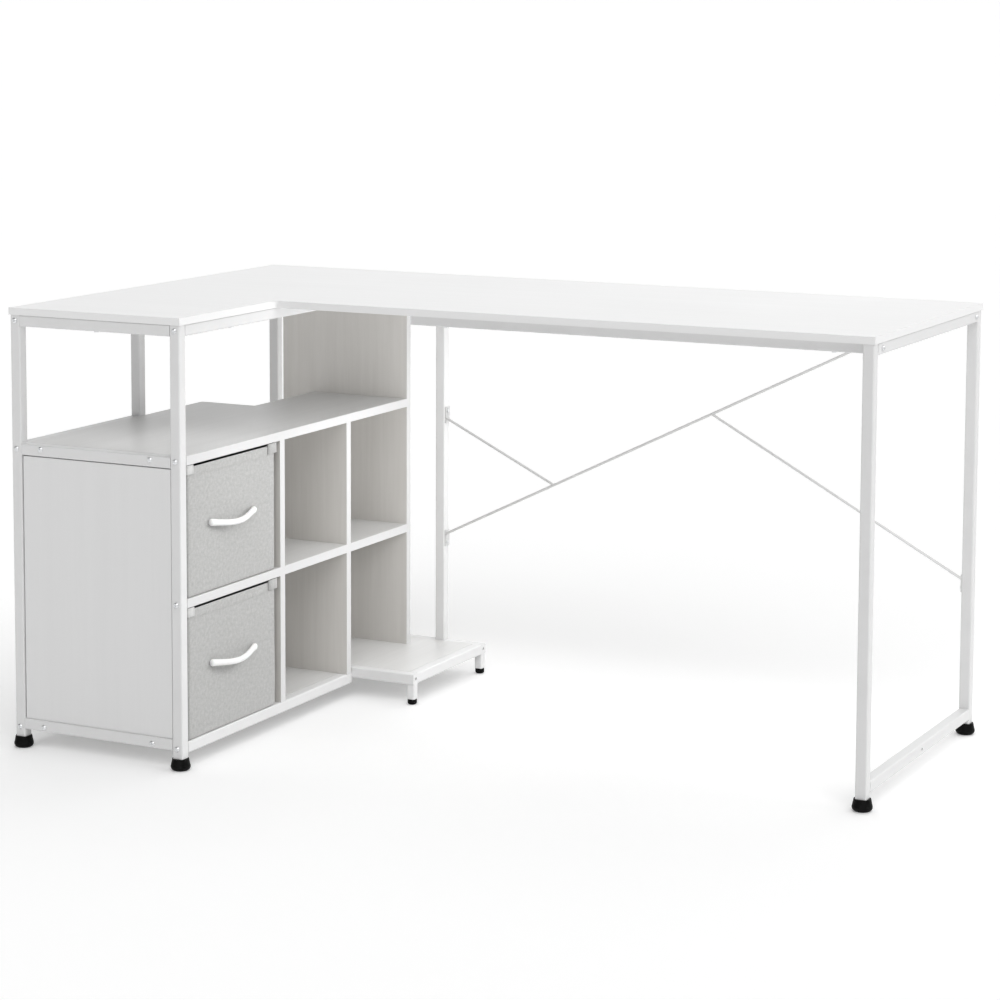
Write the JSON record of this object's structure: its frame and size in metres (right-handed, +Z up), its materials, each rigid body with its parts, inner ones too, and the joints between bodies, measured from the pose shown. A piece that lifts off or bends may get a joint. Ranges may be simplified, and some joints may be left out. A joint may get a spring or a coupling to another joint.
{
  "type": "corner desk",
  "caption": "L-shaped desk on a square-tube frame, with an open shelf, cubbies, pull-out fabric drawers and a low computer stand under the return.",
  "frame": {"origin": "centre of the outline at floor level", "axes": "+X along the main board, away from the return; +Y towards the back; +Z up"},
  "size_m": [1.41, 0.86, 0.745],
  "materials": {
    "top_laminate": "satin white laminate",
    "board_laminate": "satin white laminate with a faint grain",
    "dowel_wood": "bare beech",
    "frame_steel": "white powder coat",
    "zinc_steel": "zinc plated",
    "foot_rubber": "black rubber",
    "plug_plastic": "black nylon",
    "handle_plastic": "white",
    "drawer_board": "grey board",
    "drawer_fabric": "light grey woven fabric"
  },
  "bodies": {
    "desk_frame": {"top_left": "top_laminate", "top_main": "top_laminate", "joint_plates": "zinc_steel", "top_screws": "zinc_steel", "leg_front_left": "frame_steel", "leg_front_inner": "frame_steel", "leg_mid_left": "frame_steel", "leg_back_left": "frame_steel", "leg_back_inner": "frame_steel", "leg_right_front": "frame_steel", "leg_right_back": "frame_steel", "rail_front_top": "frame_steel", "rail_front_shelf": "frame_steel", "rail_front_base": "frame_steel", "rail_left_top": "frame_steel", "rail_left_shelf": "frame_steel", "rail_left_base_front": "frame_steel", "rail_left_base_back": "frame_steel", "rail_inner_top": "frame_steel", "rail_inner_base": "frame_steel", "beam_front": "frame_steel", "beam_back": "frame_steel", "beam_bracket": "zinc_steel", "rail_right_top": "frame_steel", "rail_right_base": "frame_steel", "end_panel": "board_laminate", "shelf_upper": "board_laminate", "shelf_upper_back": "board_laminate", "shelf_mid_front": "board_laminate", "shelf_mid_centre": "board_laminate", "shelf_mid_back": "board_laminate", "shelf_base": "board_laminate", "divider_front": "board_laminate", "divider_back": "board_laminate", "tall_panel": "board_laminate", "shelf_dowels": "dowel_wood", "stand_rail_front": "frame_steel", "stand_rail_back": "frame_steel", "stand_rail_side": "frame_steel", "stand_legs": "frame_steel", "stand_board": "board_laminate", "stand_feet": "foot_rubber", "brace_long": "frame_steel", "brace_left": "frame_steel", "brace_right": "frame_steel", "frame_bolts": "zinc_steel", "leg_plugs": "plug_plastic"},
    "drawer_upper_body": {"drawer_upper": "drawer_fabric", "drawer_upper_board": "drawer_board", "drawer_upper_handle": "handle_plastic"},
    "drawer_lower_body": {"drawer_lower": "drawer_fabric", "drawer_lower_board": "drawer_board", "drawer_lower_handle": "handle_plastic"},
    "foot_front_left_body": {"foot_front_left": "foot_rubber"},
    "foot_front_inner_body": {"foot_front_inner": "foot_rubber"},
    "foot_mid_left_body": {"foot_mid_left": "foot_rubber"},
    "foot_back_left_body": {"foot_back_left": "foot_rubber"},
    "foot_right_front_body": {"foot_right_front": "foot_rubber"},
    "foot_right_back_body": {"foot_right_back": "foot_rubber"}
  },
  "joints": [
    {"name": "drawer_upper_slide", "type": "slide", "parent": "desk_frame", "child": "drawer_upper_body", "axis": [1, 0, 0], "range_m": [0, 0.28]},
    {"name": "drawer_lower_slide", "type": "slide", "parent": "desk_frame", "child": "drawer_lower_body", "axis": [1, 0, 0], "range_m": [0, 0.28]},
    {"name": "foot_front_left_screw", "type": "slide", "parent": "desk_frame", "child": "foot_front_left_body", "axis": [0, 0, -1], "range_m": [0, 0.01]},
    {"name": "foot_front_inner_screw", "type": "slide", "parent": "desk_frame", "child": "foot_front_inner_body", "axis": [0, 0, -1], "range_m": [0, 0.01]},
    {"name": "foot_mid_left_screw", "type": "slide", "parent": "desk_frame", "child": "foot_mid_left_body", "axis": [0, 0, -1], "range_m": [0, 0.01]},
    {"name": "foot_back_left_screw", "type": "slide", "parent": "desk_frame", "child": "foot_back_left_body", "axis": [0, 0, -1], "range_m": [0, 0.01]},
    {"name": "foot_right_front_screw", "type": "slide", "parent": "desk_frame", "child": "foot_right_front_body", "axis": [0, 0, -1], "range_m": [0, 0.01]},
    {"name": "foot_right_back_screw", "type": "slide", "parent": "desk_frame", "child": "foot_right_back_body", "axis": [0, 0, -1], "range_m": [0, 0.01]}
  ]
}
